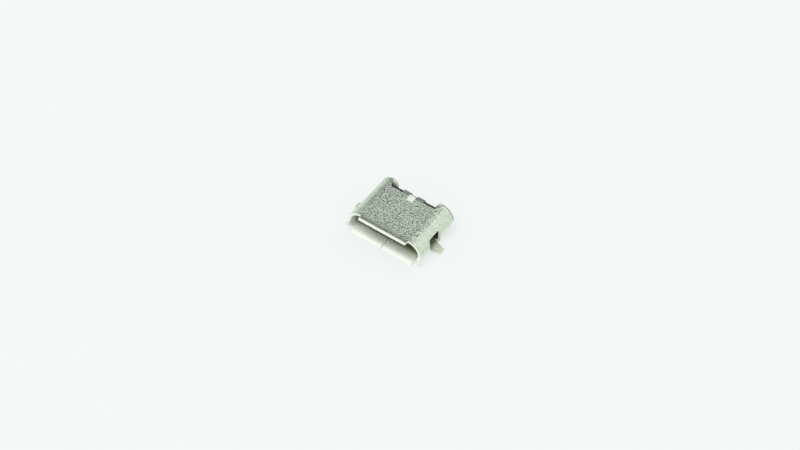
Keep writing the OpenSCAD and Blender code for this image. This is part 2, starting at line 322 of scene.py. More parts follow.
def remove(test):
    """Deletes the faces whose middle passes a test."""
    pick("FACE", test, by_centre=True)
    bpy.ops.mesh.delete(type="FACE")


def assign_finish(test, finish):
    """Gives the faces whose middle passes a test one of the piece's finishes."""
    pick("FACE", test, by_centre=True)
    bpy.context.object.active_material_index = finish
    bpy.ops.object.material_slot_assign()


def round_corners(test, radius):
    """Rounds the corners of a flat outline."""
    pick("VERT", test)
    bpy.ops.mesh.bevel(
        offset=radius, affect="VERTICES", segments=FOOT_CORNER_STEPS, offset_type="OFFSET"
    )


def quarter_planes(centre, spoke, axis):
    """Planes along the quarter circle that a spoke makes about an axis, facing out of the circle."""
    centre, spoke, axis = Vector(centre), Vector(spoke), Vector(axis)
    step = math.pi / 2 / QUARTER_STEPS
    rim = [centre + Matrix.Rotation(step * i, 3, axis) @ spoke for i in range(QUARTER_STEPS + 1)]
    return [(first, (second - first).cross(axis)) for first, second in zip(rim, rim[1:])]


def within(p, planes):
    """Whether a point lies behind all of some planes."""
    return all((p - point).dot(normal) < 0 for point, normal in planes)


class FreeEdge:
    """The edge that a sheet is drawn out from, with the way that it heads and the way to its inside."""

    def __init__(self, test, point, heading, inside):
        pick("EDGE", test)
        self.point = Vector(point)
        self.heading = Vector(heading)
        self.inside = Vector(inside)

    def run(self, distance):
        """Draws the sheet straight on."""
        move = self.heading * distance
        bpy.ops.mesh.extrude_region_move(TRANSFORM_OT_translate={"value": move})
        self.point += move
        return self

    def bend(self, radius, turn, inwards=True):
        """Bends the sheet to its inside or its outside, with a radius for the face that is drawn."""
        side = self.inside if inwards else -self.inside
        centre = self.point + side * radius
        axis = self.heading.cross(side)
        steps = max(2, round(turn / BEND_STEP))
        bpy.ops.mesh.spin(steps=steps, angle=-turn, center=centre, axis=axis)
        rotation = Matrix.Rotation(turn, 3, axis)
        self.point = centre + rotation @ (self.point - centre)
        self.heading = rotation @ self.heading
        self.inside = rotation @ self.inside
        return self


# Bench tools for whole pieces


def select_only(piece):
    """Selects one piece and nothing else."""
    bpy.ops.object.select_all(action="DESELECT")
    piece.select_set(True)
    bpy.context.view_layer.objects.active = piece


def apply_modifier(piece, kind, **settings):
    """Adds a modifier to a piece, sets it and applies it."""
    select_only(piece)
    modifier = piece.modifiers.new(kind.title(), kind)
    for key, value in settings.items():
        setattr(modifier, key, value)
    bpy.ops.object.modifier_apply(modifier=modifier.name)


def combine(piece, tool, operation):
    """Adds a tool body to a piece or cuts it away, and removes the tool body."""
    apply_modifier(piece, "BOOLEAN", object=tool, operation=operation, solver="EXACT")
    bpy.data.objects.remove(tool)


def even_out():
    """Merges the active piece's doubled points and turns its faces one way."""
    edit()
    bpy.ops.mesh.select_all(action="SELECT")
    bpy.ops.mesh.remove_doubles(threshold=CLOSE)
    bpy.ops.mesh.normals_make_consistent(inside=False)
    leave_edit()


def face_upwards(piece, on_top):
    """Turns an open sheet's faces to the outer side, so that the first face that passes a test looks up."""
    even_out()
    normal = next(face.normal for face in piece.data.polygons if on_top(face.center))
    if normal.z < 0:
        edit()
        bpy.ops.mesh.select_all(action="SELECT")
        bpy.ops.mesh.flip_normals()
        leave_edit()


def soften(piece, width, finish=-1):
    """Rounds a piece's sharp edges, which may get a finish of their own, and smooths its bends."""
    apply_modifier(
        piece, "BEVEL", width=width, segments=SOFT_EDGE_STEPS, limit_method="ANGLE",
        angle_limit=SHARP_ANGLE, miter_outer="MITER_ARC", material=finish,
    )
    even_out()
    bpy.ops.object.shade_smooth_by_angle(angle=SHARP_ANGLE)
    apply_modifier(piece, "WEIGHTED_NORMAL", keep_sharp=True)


def hand_over(piece, node):
    """Brings a finished piece to metres and lets it stand for its CAD node."""
    select_only(piece)
    piece.scale = (MM, MM, MM)
    bpy.ops.object.transform_apply(location=True, rotation=True, scale=True)
    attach(piece, "root")
    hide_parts(node)


# Finishes


def dimmed(tint, share):
    """A colour at a share of its brightness."""
    return [share * part for part in tint]


def new_finish(name, metallic=0.0):
    """A new material, with its nodes, its shader and the place that its patterns read."""
    material = bpy.data.materials.new(name)
    material.use_nodes = True
    tree = material.node_tree
    shader = tree.nodes["Principled BSDF"]
    shader.inputs["Metallic"].default_value = metallic
    place = tree.nodes.new("ShaderNodeTexCoord").outputs["Object"]
    return material, tree, shader, place


def add_noise(tree, place, grain, detail=3.0, ragged=0.55, distortion=0.0):
    """Noise whose patches are about as wide as the grain, in millimetres."""
    node = tree.nodes.new("ShaderNodeTexNoise")
    node.inputs["Scale"].default_value = 1 / (grain * MM)
    node.inputs["Detail"].default_value = detail
    node.inputs["Roughness"].default_value = ragged
    node.inputs["Distortion"].default_value = distortion
    tree.links.new(place, node.inputs["Vector"])
    return node.outputs["Fac"]


def add_range(tree, value, before, after, unit=1.0, interpolation="LINEAR"):
    """Maps a value from one range, in a unit of its own, to another."""
    node = tree.nodes.new("ShaderNodeMapRange")
    node.interpolation_type = interpolation
    ends = (before[0] * unit, before[1] * unit, *after)
    for name, number in zip(("From Min", "From Max", "To Min", "To Max"), ends):
        node.inputs[name].default_value = number
    tree.links.new(value, node.inputs["Value"])
    return node.outputs["Result"]


def add_mix(tree, factor, a, b):
    """Mixes two colours."""
    node = tree.nodes.new("ShaderNodeMix")
    node.data_type = "RGBA"
    tree.links.new(factor, node.inputs["Factor"])
    for name, value in (("A", a), ("B", b)):
        socket = next(s for s in node.inputs if s.name == name and s.type == "RGBA")
        if isinstance(value, bpy.types.NodeSocket):
            tree.links.new(value, socket)
        else:
            socket.default_value = (*value, 1)
    return next(s for s in node.outputs if s.type == "RGBA")


def add_math(tree, operation, a, b=0.0):
    """Works on one or two values, the second of which may be a number."""
    node = tree.nodes.new("ShaderNodeMath")
    node.operation = operation
    tree.links.new(a, node.inputs[0])
    if isinstance(b, bpy.types.NodeSocket):
        tree.links.new(b, node.inputs[1])
    else:
        node.inputs[1].default_value = b
    return node.outputs[0]


def add_levels(tree, value, stops, unit=1.0):
    """Grey levels along a value, from stops that each have a place, in some unit, and a level."""
    first, last = stops[0][0], stops[-1][0]
    ramp = tree.nodes.new("ShaderNodeValToRGB")
    elements = ramp.color_ramp.elements
    while len(elements) < len(stops):
        elements.new(0.5)
    for element, (place, level) in zip(elements, stops):
        element.position = (place - first) / (last - first)
        element.color = (level, level, level, 1)
    tree.links.new(add_range(tree, value, (first, last), (0, 1), unit), ramp.inputs["Fac"])
    return ramp.outputs["Color"]


def add_axes(tree, place):
    """The X, Y and Z of a place."""
    node = tree.nodes.new("ShaderNodeSeparateXYZ")
    tree.links.new(place, node.inputs[0])
    return node.outputs


def set_tint(tree, shader, tint):
    tree.links.new(tint, shader.inputs["Base Color"])


def set_roughness(tree, shader, grain, levels):
    """Lets the roughness follow a noise, between its levels at the noise's usual low and high values."""
    tree.links.new(add_range(tree, grain, NOISE_RANGE, levels), shader.inputs["Roughness"])


def set_relief(tree, shader, height, depth, strength):
    """Raises the surface by a height pattern, to a depth in millimetres."""
    node = tree.nodes.new("ShaderNodeBump")
    node.inputs["Strength"].default_value = strength
    node.inputs["Distance"].default_value = depth * MM
    tree.links.new(height, node.inputs["Height"])
    tree.links.new(node.outputs["Normal"], shader.inputs["Normal"])


def add_grained(tree, grain, tint, shares):
    """A colour that follows a grain between two shares of its brightness."""
    return add_mix(tree, grain, *(dimmed(tint, share) for share in shares))


def grained_finish(name, tint, shares, metallic, roughness, depth, strength, **noise):
    """A finish with one fine grain in its colour, its roughness and its relief."""
    material, tree, shader, place = new_finish(name, metallic)
    grain = add_noise(tree, place, **noise)
    tint = add_grained(tree, grain, tint, shares)
    set_tint(tree, shader, tint)
    set_roughness(tree, shader, grain, roughness)
    set_relief(tree, shader, grain, depth, strength)
    return SimpleNamespace(material=material, tree=tree, shader=shader, place=place, tint=tint)


def tinned_sheet(finishes, s):
    """Tin plate with fine grains, a pitted roof, a painted shade behind the upper lip and a painted
    reflection of the white floor low on the walls.
    """
    # Heights between which the roof's pits, and the painted reflection of the white floor low on the walls,
    # fade out
    pit_fade = (s.roof_z - 0.16, s.roof_z - 0.01)
    floor_reflection_fade = (0.75, s.wall_top + 0.35)
    # How much of the roof's pits the walls have, and the least light tin in their colour
    wall_pits, wall_calm = 0.05, 0.6
    # How much the clouds add to the grains
    cloud_share = 0.2
    # Values of the noises between which the dark tin turns light, and the pits begin
    shade_range, pit_range = (0.48, 0.65), (0.52, 0.6)
    # Painted shade in a band behind the upper lip's edge, by the distance from the mouth
    lip_shade_stops = ((-0.3, 0), (-0.22, 0.55), (-0.05, 0.5), (0.1, 0.18), (0.3, 0))
    pit_tint, lip_shade_tint = dimmed(finishes.tin_dark, 0.45), dimmed(finishes.tin_dark, 0.4)

    material, tree, shader, place = new_finish("tinned_sheet", metallic=1)
    axes = add_axes(tree, place)
    roof = add_range(tree, axes["Z"], pit_fade, (wall_pits, 1), MM, "SMOOTHERSTEP")
    grains = add_noise(tree, place, grain=0.18, detail=5, ragged=0.75, distortion=0.3)
    clouds = add_noise(tree, place, grain=1.6, detail=2)
    specks = add_noise(tree, place, grain=0.125, detail=2, ragged=0.6)
    clouded = add_math(tree, "ADD", grains, add_math(tree, "MULTIPLY", clouds, cloud_share))
    calm = add_range(tree, roof, (wall_pits, 1), (wall_calm, 0))
    shade = add_math(tree, "MAXIMUM", add_range(tree, clouded, shade_range, (0, 1)), calm)
    tint = add_mix(tree, shade, finishes.tin_dark, finishes.tin_light)
    pits = add_math(tree, "MULTIPLY", add_range(tree, specks, pit_range, (0, 1)), roof)
    tint = add_mix(tree, pits, tint, pit_tint)
    # Painted shade behind the upper lip, only at the roof's height
    lip_painted_shade = add_math(tree, "MULTIPLY", add_levels(tree, axes["Y"], lip_shade_stops, MM), roof)
    tint = add_mix(tree, lip_painted_shade, tint, lip_shade_tint)
    # Painted reflection of the white floor, strongest at the bottom of the walls
    low = add_range(tree, axes["Z"], floor_reflection_fade, (1, 0), MM)
    set_tint(tree, shader, add_mix(tree, low, tint, finishes.painted_floor_reflection))
    set_roughness(tree, shader, grains, (0.42, 0.28))
    set_relief(tree, shader, add_math(tree, "SUBTRACT", grains, specks), depth=0.03, strength=0.8)
    return material


def inner_plate(finishes, s):
    """The sheet's inner face: matte and pale at the mouth and outside the walls, with a painted shade that
    darkens it further in and is halved by the side windows.
    """
    # Painted shade by the distance from the mouth: a little at the lip's end, none at the mouth, full
    # deeper in, and less again at the rear
    depth_shade_stops = (
        (-0.35, 0.08), (-0.2, 0), (-0.04, 0), (0.12, 0.13), (0.25, 0.22), (0.48, 0.27), (0.6, 0.4),
        (0.9, 1), (4.4, 1), (4.8, 0.3),
    )
    # Distances from the middle between which the painted shade falls to a half, where light comes in
    # through the side windows
    side_shade_fade = (s.half_w - 0.4, s.half_w - 0.1)

    finish = grained_finish(
        "inner_plate", finishes.inner, shares=(0.92, 1), metallic=0.1, roughness=(0.6, 0.5),
        depth=0.004, strength=0.4, grain=0.2, ragged=0.6,
    )
    tree = finish.tree
    axes = add_axes(tree, finish.place)
    depth = add_levels(tree, axes["Y"], depth_shade_stops, MM)
    side_shade_share = add_range(tree, add_math(tree, "ABSOLUTE", axes["X"]), side_shade_fade, (1, 0.5), MM)
    # Painted shade: darker deeper in the mouth
    painted_depth_shade = add_math(tree, "MULTIPLY", depth, side_shade_share)
    set_tint(tree, finish.shader, add_mix(tree, painted_depth_shade, finish.tint, finishes.inner_painted_shade))
    return finish.material


def painted_shade_plating(finishes):
    """Grey plating that paints the shade on the crimped tabs and along the round corners' rear ends."""
    return grained_finish(
        "painted_shade_plating", finishes.painted_shade, shares=(0.7, 1), metallic=1, roughness=(0.5, 0.36),
        depth=0.01, strength=0.6, grain=0.15, detail=4, ragged=0.7,
    ).material


def pale_metal(finishes, s):
    """Pale metal with a fine broken grain on the cut edges and the middle tab, with a painted shade towards
    the rear.
    """
    # Painted shade by the distance from the mouth, from a little before the slot to the flaps
    rear_shade_stops = ((s.slot_y - 0.3, 0), (s.slot_y, 0.5), (s.wall_d, 0.5), (s.flap_front, 1))
    rear_shade_tint = dimmed(finishes.edge, 0.6)

    finish = grained_finish(
        "pale_metal", finishes.edge, shares=(0.8, 1), metallic=0.15, roughness=(0.62, 0.5),
        depth=0.002, strength=0.4, grain=0.08, detail=2,
    )
    tree = finish.tree
    rear_shade = add_levels(tree, add_axes(tree, finish.place)["Y"], rear_shade_stops, MM)
    set_tint(tree, finish.shader, add_mix(tree, rear_shade, finish.tint, rear_shade_tint))
    return finish.material


def black_plastic(finishes):
    """Matte moulded plastic with a fine spark-eroded grain."""
    return grained_finish(
        "black_plastic", finishes.plastic, shares=(1, 1.8), metallic=0, roughness=(0.42, 0.58),
        depth=0.003, strength=0.5, grain=0.06,
    ).material


def gold_plate(finishes):
    """Thin gold plate over a rolled strip."""
    return grained_finish(
        "gold_plate", finishes.gold, shares=(0.9, 1), metallic=1, roughness=(0.2, 0.34),
        depth=0.001, strength=0.2, grain=0.09,
    ).material


def pale_card(finishes):
    """Pale card with a faint tooth, which is seen partly lit and partly at its own plain colour."""
    # How much of its own colour is seen
    own_colour = 0.72

    material, tree, shader, place = new_finish("pale_card")
    tooth = add_noise(tree, place, grain=4, detail=2)
    lit_tint = add_grained(tree, tooth, finishes.floor, shares=(0.78, 0.79))
    own_tint = add_grained(tree, tooth, finishes.floor, shares=(0.985, 1))
    set_tint(tree, shader, lit_tint)
    shader.inputs["Roughness"].default_value = 0.9
    shader.inputs["Specular IOR Level"].default_value = 0.1
    glow = tree.nodes.new("ShaderNodeEmission")
    tree.links.new(own_tint, glow.inputs["Color"])
    path = tree.nodes.new("ShaderNodeLightPath").outputs
    seen = add_math(tree, "MAXIMUM", path["Is Camera Ray"], path["Is Glossy Ray"])
    seen = add_math(tree, "MAXIMUM", seen, path["Is Transmission Ray"])
    blend = tree.nodes.new("ShaderNodeMixShader")
    tree.links.new(add_math(tree, "MULTIPLY", seen, own_colour), blend.inputs["Fac"])
    tree.links.new(shader.outputs["BSDF"], blend.inputs[1])
    tree.links.new(glow.outputs["Emission"], blend.inputs[2])
    tree.links.new(blend.outputs["Shader"], tree.nodes["Material Output"].inputs["Surface"])
    return material


# Layout


def shell_layout(s):
    """Adds the places on the shell to its sizes, in millimetres and from the frame."""
    s.foot_end = SHELL_HIGH.x / MM
    s.flap_d = SHELL_HIGH.y / MM
    lift_rise = s.rear_bend_r * (1 - math.cos(s.lift_angle)) + s.lift_end * math.sin(s.lift_angle)
    s.roof_z = SHELL_HIGH.z / MM - lift_rise
    s.half_w = s.foot_end - s.foot_reach
    s.roof_half = s.half_w - s.corner_r - s.sheet
    s.wall_top = s.roof_z - s.corner_r - s.sheet
    s.wall_bottom = s.floor_r + s.sheet
    s.floor_half = s.half_w - s.floor_r - s.sheet
    s.lower_lip_half = s.floor_half - s.lower_lip_inset
    s.roof_d = s.flap_d - s.flap_past_roof
    s.floor_d = s.roof_d - s.floor_short
    s.rear_half = s.roof_half - s.rear_inset
    s.ear_x = s.rear_half + s.slant_w
    s.flap_front = s.flap_d - s.sheet
    s.wall_d = s.flap_front - s.rear_bend_r
    s.flap_end = s.half_w - s.sheet - s.rear_bend_r
    s.flap_x = s.half_w - s.flap_inset
    s.flap_inner = s.flap_x - s.flap_r
    s.lobe_end = s.ear_x - s.flap_gap
    s.flap_top = s.roof_z + s.flap_rise
    s.lobe_z = s.flap_top - s.flap_r
    s.notch_top = s.wall_top + s.flap_notch
    s.slot_y = s.roof_d - s.slot_d
    s.slot_half = s.slot_w / 2
    s.crimp_end_x = s.slot_half + s.crimp_w
    s.window_end = s.window_y + s.window_d
    s.window_top = s.roof_z - s.window_drop
    s.foot_y = (s.window_y + s.window_end) / 2
    return s


# Folded shell


def fold_half(s):
    """Folds the right half of the sheet's outer face, from the middle of the roof round to the seam."""
    sheet = start_piece(
        "folded_shell", add_unit_plane, (0, -s.lip_run, s.roof_z), (s.roof_half, s.flap_d, s.roof_z)
    )
    edit()
    edge = FreeEdge(lambda p: near(p.x, s.roof_half), (s.roof_half, 0, s.roof_z), (1, 0, 0), (0, 0, -1))
    edge.bend(s.corner_r + s.sheet, math.pi / 2)
    edge.run(s.wall_top - s.wall_bottom)
    edge.bend(s.floor_r + s.sheet, math.pi / 2)
    edge.run(s.floor_half - s.seam_gap / 2)
    return sheet


def trim_mouth(s):
    """Cuts the mouth's corners back, with a round root beside the upper and the lower lip."""
    def on_upper_corner(p):
        return p.x > s.roof_half - CLOSE and p.z > s.wall_top - CLOSE

    def on_lower_corner(p):
        return p.x > s.lower_lip_half - CLOSE and p.z < s.wall_bottom + CLOSE

    cut((s.lower_lip_half, 0, 0), (1, 0, 0), lambda p: near(p.z, 0))
    for lip_half, on_corner in ((s.roof_half, on_upper_corner), (s.lower_lip_half, on_lower_corner)):
        root_x = lip_half + s.lip_run
        cut((0, 0, 0), (0, 1, 0), on_corner)
        cut((root_x, 0, 0), (1, 0, 0), lambda p: on_corner(p) and p.y < CLOSE)
        planes = quarter_planes((root_x, -s.lip_run, 0), (0, s.lip_run, 0), (0, 0, 1))
        for point, normal in planes:
            cut(point, normal, lambda p: on_corner(p) and p.y < CLOSE and p.x < root_x + CLOSE)
        remove(lambda p: on_corner(p) and p.y < 0 and (p.x > root_x or within(p, planes)))


def trim_roof(s):
    """Cuts the roof's rear edge, the slants beside it and the slot."""
    def beside(p):
        return p.z > s.wall_top - CLOSE and p.x < s.ear_x + s.sheet

    def behind(p):
        return beside(p) and p.y > s.roof_d - CLOSE

    def inner(p):
        return behind(p) and p.x < s.ear_x + CLOSE

    def on_roof(p):
        return near(p.z, s.roof_z) and p.x < s.roof_half + CLOSE

    corner = Vector((s.rear_half, s.roof_d, 0))
    slope = Vector((-s.slant_d, s.slant_w, 0))
    cut(corner, (0, 1, 0), beside)
    cut((s.ear_x, 0, 0), (1, 0, 0), behind)
    cut(corner, slope, inner)
    remove(lambda p: inner(p) and (p - corner).dot(slope) > 0)
    for x in (s.slot_half - s.slot_gap, s.slot_half, s.crimp_end_x):
        cut((x, 0, 0), (1, 0, 0), on_roof)
    cut((0, s.slot_y, 0), (0, 1, 0), lambda p: on_roof(p) and p.x < s.crimp_end_x + CLOSE)
    remove(lambda p: on_roof(p) and p.x < s.slot_half and p.y > s.slot_y)


def trim_walls(s):
    """Cuts the rear ends of the wall and the floor."""
    def on_wall(p):
        return p.x > s.floor_half + CLOSE and between(p.z, s.wall_bottom, s.notch_top + s.flap_notch)

    def low(p):
        return p.z < s.wall_bottom + CLOSE

    cut((0, s.wall_d, 0), (0, 1, 0), on_wall)
    cut((0, 0, s.notch_top), (0, 0, 1), lambda p: on_wall(p) and p.y > s.wall_d - CLOSE)
    remove(lambda p: on_wall(p) and p.y > s.wall_d and p.z < s.notch_top)
    cut((0, s.floor_d, 0), (0, 1, 0), low)
    remove(lambda p: low(p) and p.y > s.floor_d)


def cut_window(s):
    """Cuts the side window, with round upper corners, from the floor's edge up into the round corner."""
    corner_z = s.window_top - s.window_r
    front = Vector((0, s.window_y + s.window_r, corner_z))
    back = Vector((0, s.window_end - s.window_r, corner_z))
    along_x = (1, 0, 0)

    def on_side(p):
        return p.x > s.floor_half - CLOSE

    def in_window(p):
        return on_side(p) and between(p.y, s.window_y, s.window_end)

    def at_front(p):
        return in_window(p) and between(p.z, corner_z, s.window_top) and p.y < front.y + CLOSE

    def at_back(p):
        return in_window(p) and between(p.z, corner_z, s.window_top) and p.y > back.y - CLOSE

    for y in (s.window_y, s.window_end):
        cut((0, y, 0), (0, 1, 0), on_side)
    for z in (corner_z, s.window_top):
        cut((0, 0, z), (0, 0, 1), in_window)
    front_planes = quarter_planes(front, (0, 0, s.window_r), along_x)
    back_planes = quarter_planes(back, (0, s.window_r, 0), along_x)
    for centre, planes, at_corner in ((front, front_planes, at_front), (back, back_planes, at_back)):
        cut(centre, (0, 1, 0), lambda p: in_window(p) and p.z > corner_z - CLOSE)
        for point, normal in planes:
            cut(point, normal, at_corner)
    remove(lambda p: in_window(p) and p.z < s.window_top and within(p, front_planes + back_planes))


def flare_lips(s):
    """Turns the front edges out into lips."""
    def in_front(p):
        return near(p.y, -s.lip_run)

    forward = (0, -1, 0)
    FreeEdge(
        lambda p: in_front(p) and near(p.z, s.roof_z) and p.x < s.roof_half + CLOSE,
        (0, -s.lip_run, s.roof_z), forward, (0, 0, -1),
    ).bend(s.upper_lip_r, s.upper_lip, inwards=False).run(s.upper_lip_end)
    FreeEdge(
        lambda p: in_front(p) and near(p.z, 0) and p.x < s.lower_lip_half + CLOSE,
        (0, -s.lip_run, 0), forward, (0, 0, 1),
    ).bend(s.lower_lip_r, s.lower_lip, inwards=False).run(s.lower_lip_end)
    FreeEdge(
        lambda p: in_front(p) and near(p.x, s.half_w),
        (s.half_w, -s.lip_run, 0), forward, (-1, 0, 0),
    ).bend(s.side_lip_r, s.side_lip, inwards=False).run(s.side_lip_end)


def bend_tabs(s):
    """Lifts the middle tab out of its slot and bends the crimped tab over the insulator."""
    lift_half = s.slot_half - s.slot_gap
    FreeEdge(
        lambda p: near(p.y, s.slot_y) and near(p.z, s.roof_z) and p.x < lift_half + CLOSE,
        (0, s.slot_y, s.roof_z), (0, 1, 0), (0, 0, -1),
    ).bend(s.rear_bend_r, s.lift_angle, inwards=False).run(s.lift_end)
    FreeEdge(
        lambda p: near(p.y, s.roof_d) and between(p.x, s.slot_half, s.crimp_end_x),
        (0, s.roof_d, s.roof_z), (0, 1, 0), (0, 0, -1),
    ).run(s.crimp_run).bend(s.rear_bend_r + s.sheet, s.crimp_angle).run(s.crimp_end)


def fold_flap(s):
    """Folds the rear flap in behind the insulator and rounds it to stand in the round corner."""
    FreeEdge(
        lambda p: near(p.y, s.wall_d) and near(p.x, s.half_w) and between(p.z, s.wall_bottom, s.wall_top),
        (s.half_w, s.wall_d, 0), (0, 1, 0), (-1, 0, 0),
    ).bend(s.rear_bend_r + s.sheet, math.pi / 2).run(s.flap_end - s.lobe_end).run(s.lobe_end - s.flap_inner)
    FreeEdge(
        lambda p: near(p.y, s.flap_d) and near(p.z, s.wall_top) and p.x < s.flap_end + CLOSE,
        (0, s.flap_d, s.wall_top), (0, 0, 1), (0, -1, 0),
    ).run(s.flap_top - s.wall_top)

    def on_flap(p):
        return near(p.y, s.flap_d) and p.z > s.wall_top - CLOSE

    def on_lobe(p):
        return on_flap(p) and p.z > s.lobe_z - CLOSE and p.x < s.lobe_end + CLOSE

    def on_side(p):
        return on_flap(p) and between(p.x, s.lobe_end, s.flap_end)

    cut((0, 0, s.lobe_z), (0, 0, 1), lambda p: on_flap(p) and p.x < s.lobe_end + CLOSE)
    forward = (0, -1, 0)
    lobe = quarter_planes((s.flap_x, s.flap_d, s.lobe_z), (0, 0, s.flap_r), forward)
    side = quarter_planes((s.roof_half, s.flap_d, s.wall_top), (s.corner_r - s.flap_gap, 0, 0), forward)
    for planes, on_part in ((lobe, on_lobe), (side, on_side)):
        for point, normal in planes:
            cut(point, normal, on_part)
        remove(lambda p: on_part(p) and not within(p, planes))


def draw_foot(s):
    """Draws the foot out of the floor through the window, tapered and with round corners."""
    root_y = s.foot_y + s.foot_lean
    for side in (-1, 1):
        root = (0, root_y + side * s.foot_root_w / 2, 0)
        cut(root, (0, 1, 0), lambda p: near(p.z, 0) and p.x < s.floor_half + CLOSE)
    edge = FreeEdge(
        lambda p: near(p.x, s.floor_half) and near(p.z, 0)
        and abs(p.y - root_y) < s.foot_root_w / 2 + CLOSE,
        (s.floor_half, 0, 0), (1, 0, 0), (0, 0, 1),
    ).run(s.foot_end - s.foot_corner_r - s.floor_half)
    bpy.ops.transform.resize(
        value=(1, s.foot_end_w / s.foot_root_w, 1), center_override=(edge.point.x, root_y, 0)
    )
    bpy.ops.transform.translate(value=(0, -s.foot_lean, 0))
    edge.run(s.foot_corner_r)
    round_corners(lambda p: near(p.x, s.foot_end), s.foot_corner_r)


def lock_seam(s):
    """Cuts a dovetail into the right half of the floor, and draws its tongue out of the left half."""
    gap = s.seam_gap / 2
    slope = s.dovetail_flare / s.dovetail_reach
    middle = s.floor_d / 2
    root = s.dovetail_root / 2

    def half_width(x, spare):
        return root + spare + slope * x

    def on_right(p):
        return near(p.z, 0) and between(p.x, gap, s.floor_half)

    far = s.dovetail_reach + gap
    cut((far, 0, 0), (1, 0, 0), on_right)
    for side in (-1, 1):
        start = Vector((0, middle + side * half_width(0, gap), 0))
        normal = Vector((-slope, side, 0))
        cut(start, normal, lambda p: on_right(p) and p.x < far + CLOSE and p.y < s.floor_d + CLOSE)
    remove(lambda p: on_right(p) and p.x < far and abs(p.y - middle) < half_width(p.x, gap))

    def on_left(p):
        return near(p.z, 0) and between(p.x, -s.floor_half, -gap)

    narrow = half_width(-gap, -gap)
    reach = s.dovetail_reach - gap
    for side in (-1, 1):
        cut((0, middle + side * narrow, 0), (0, 1, 0), on_left)
    FreeEdge(
        lambda p: near(p.x, -gap) and near(p.z, 0) and abs(p.y - middle) < narrow + CLOSE,
        (-gap, 0, 0), (1, 0, 0), (0, 0, 1),
    ).run(reach + gap)
    bpy.ops.transform.resize(
        value=(1, half_width(reach, -gap) / narrow, 1), center_override=(reach, middle, 0)
    )


def drill_feet(shell, s):
    """Drills the solder hole in each foot, with a drill that is longer than the sheet is thick."""
    drill_h = 4 * s.sheet
    for side in (-1, 1):
        bpy.ops.object.select_all(action="DESELECT")
        bpy.ops.mesh.primitive_cylinder_add(
            vertices=DRILL_SIDES, radius=s.foot_hole_d / 2, depth=drill_h,
            location=(side * (s.foot_end - s.foot_hole_inset), s.foot_y + s.foot_lean / 2, s.sheet / 2),
        )
        drill = bpy.context.object
        for finish in shell.data.materials:
            drill.data.materials.append(finish)
        for face in drill.data.polygons:
            face.material_index = EDGE_FINISH
        combine(shell, drill, "DIFFERENCE")


def paint_rear_shade(s):
    """Gives the crimped tab and the round corner's rear end their painted shade."""
    band_y = s.flap_d - s.end_band

    def on_ear(p):
        return p.z > s.notch_top - CLOSE and p.x > s.lobe_end + CLOSE

    def on_crimp(p):
        return p.y > s.roof_d - CLOSE and between(p.x, s.slot_half, s.crimp_end_x)

    cut((0, band_y, 0), (0, 1, 0), lambda p: on_ear(p) and p.y < s.flap_d + CLOSE)
    for test in (on_crimp, lambda p: on_ear(p) and band_y < p.y < s.flap_d - CLOSE):
        assign_finish(test, PAINTED_SHADE_FINISH)


def finish_middle_tab(s):
    """Gives the middle tab the cut edges' pale finish on all its sides: a painted highlight where the
    lifted tab mirrors the bright light above.
    """
    def on_tab(p):
        return p.y > s.slot_y and p.z > s.wall_top and abs(p.x) < s.slot_half - s.slot_gap / 2

    assign_finish(on_tab, EDGE_FINISH)


class SOCKET_OT_fold_shell(bpy.types.Operator):
    """Fold the shell from one sheet, with its lips, tabs, flaps and feet"""

    bl_idname = "socket.fold_shell"
    bl_label = "Fold Shell"

    def execute(self, context):
        s = shell_layout(in_millimetres(context.scene.socket_shell))
        finishes = context.scene.socket_finishes
        shell = fold_half(s)
        trim_mouth(s)
        trim_roof(s)
        trim_walls(s)
        cut_window(s)
        flare_lips(s)
        bend_tabs(s)
        fold_flap(s)
        draw_foot(s)
        leave_edit()
        for finish in (
            tinned_sheet(finishes, s), pale_metal(finishes, s),
            inner_plate(finishes, s), painted_shade_plating(finishes),
        ):
            shell.data.materials.append(finish)
        edit()
        paint_rear_shade(s)
        leave_edit()
        apply_modifier(shell, "MIRROR", use_mirror_merge=True, merge_threshold=CLOSE)
        edit()
        lock_seam(s)
        leave_edit()
        face_upwards(shell, lambda p: near(p.z, s.roof_z))
        apply_modifier(
            shell, "SOLIDIFY", thickness=s.sheet, offset=-1, use_even_offset=True,
            use_quality_normals=True, material_offset=INNER_FINISH, material_offset_rim=EDGE_FINISH,
        )
        edit()
        finish_middle_tab(s)
        leave_edit()
        drill_feet(shell, s)
        # The rounded edges take the cut edges' pale finish: partly the sheared edges' own colour, partly a
        # painted highlight along every sharp edge
        soften(shell, s.edge_round, EDGE_FINISH)
        hand_over(shell, "shell")
        return {"FINISHED"}


# Moulded insulator


def slice_off(point, normal):
    """Cuts off what lies on the normal's side of a plane on the active piece, and closes the cut."""
    edit()
    bpy.ops.mesh.select_all(action="SELECT")
    bpy.ops.mesh.bisect(
        plane_co=point, plane_no=normal, use_fill=True, clear_outer=True, threshold=CUT_CLOSE
    )
    leave_edit()


def mould_block(s, m):
    """The rear block, which fills the shell between its walls, with its long edges rounded."""
    inset = s.sheet + m.fit
    block_half = s.half_w - inset
    block_top = s.roof_z - inset
    block = start_piece(
        "moulded_insulator", add_unit_cube,
        (-block_half, m.block_y, inset), (block_half, m.block_d, block_top),
    )
    edit()
    for x in (-block_half, block_half):
        for z, radius in ((block_top, s.corner_r - m.fit), (inset, s.floor_r - m.fit)):
            pick("EDGE", lambda p: near(p.x, x) and near(p.z, z))
            bpy.ops.mesh.bevel(offset=radius, affect="EDGES", segments=BLOCK_EDGE_STEPS)
    leave_edit()
    return block


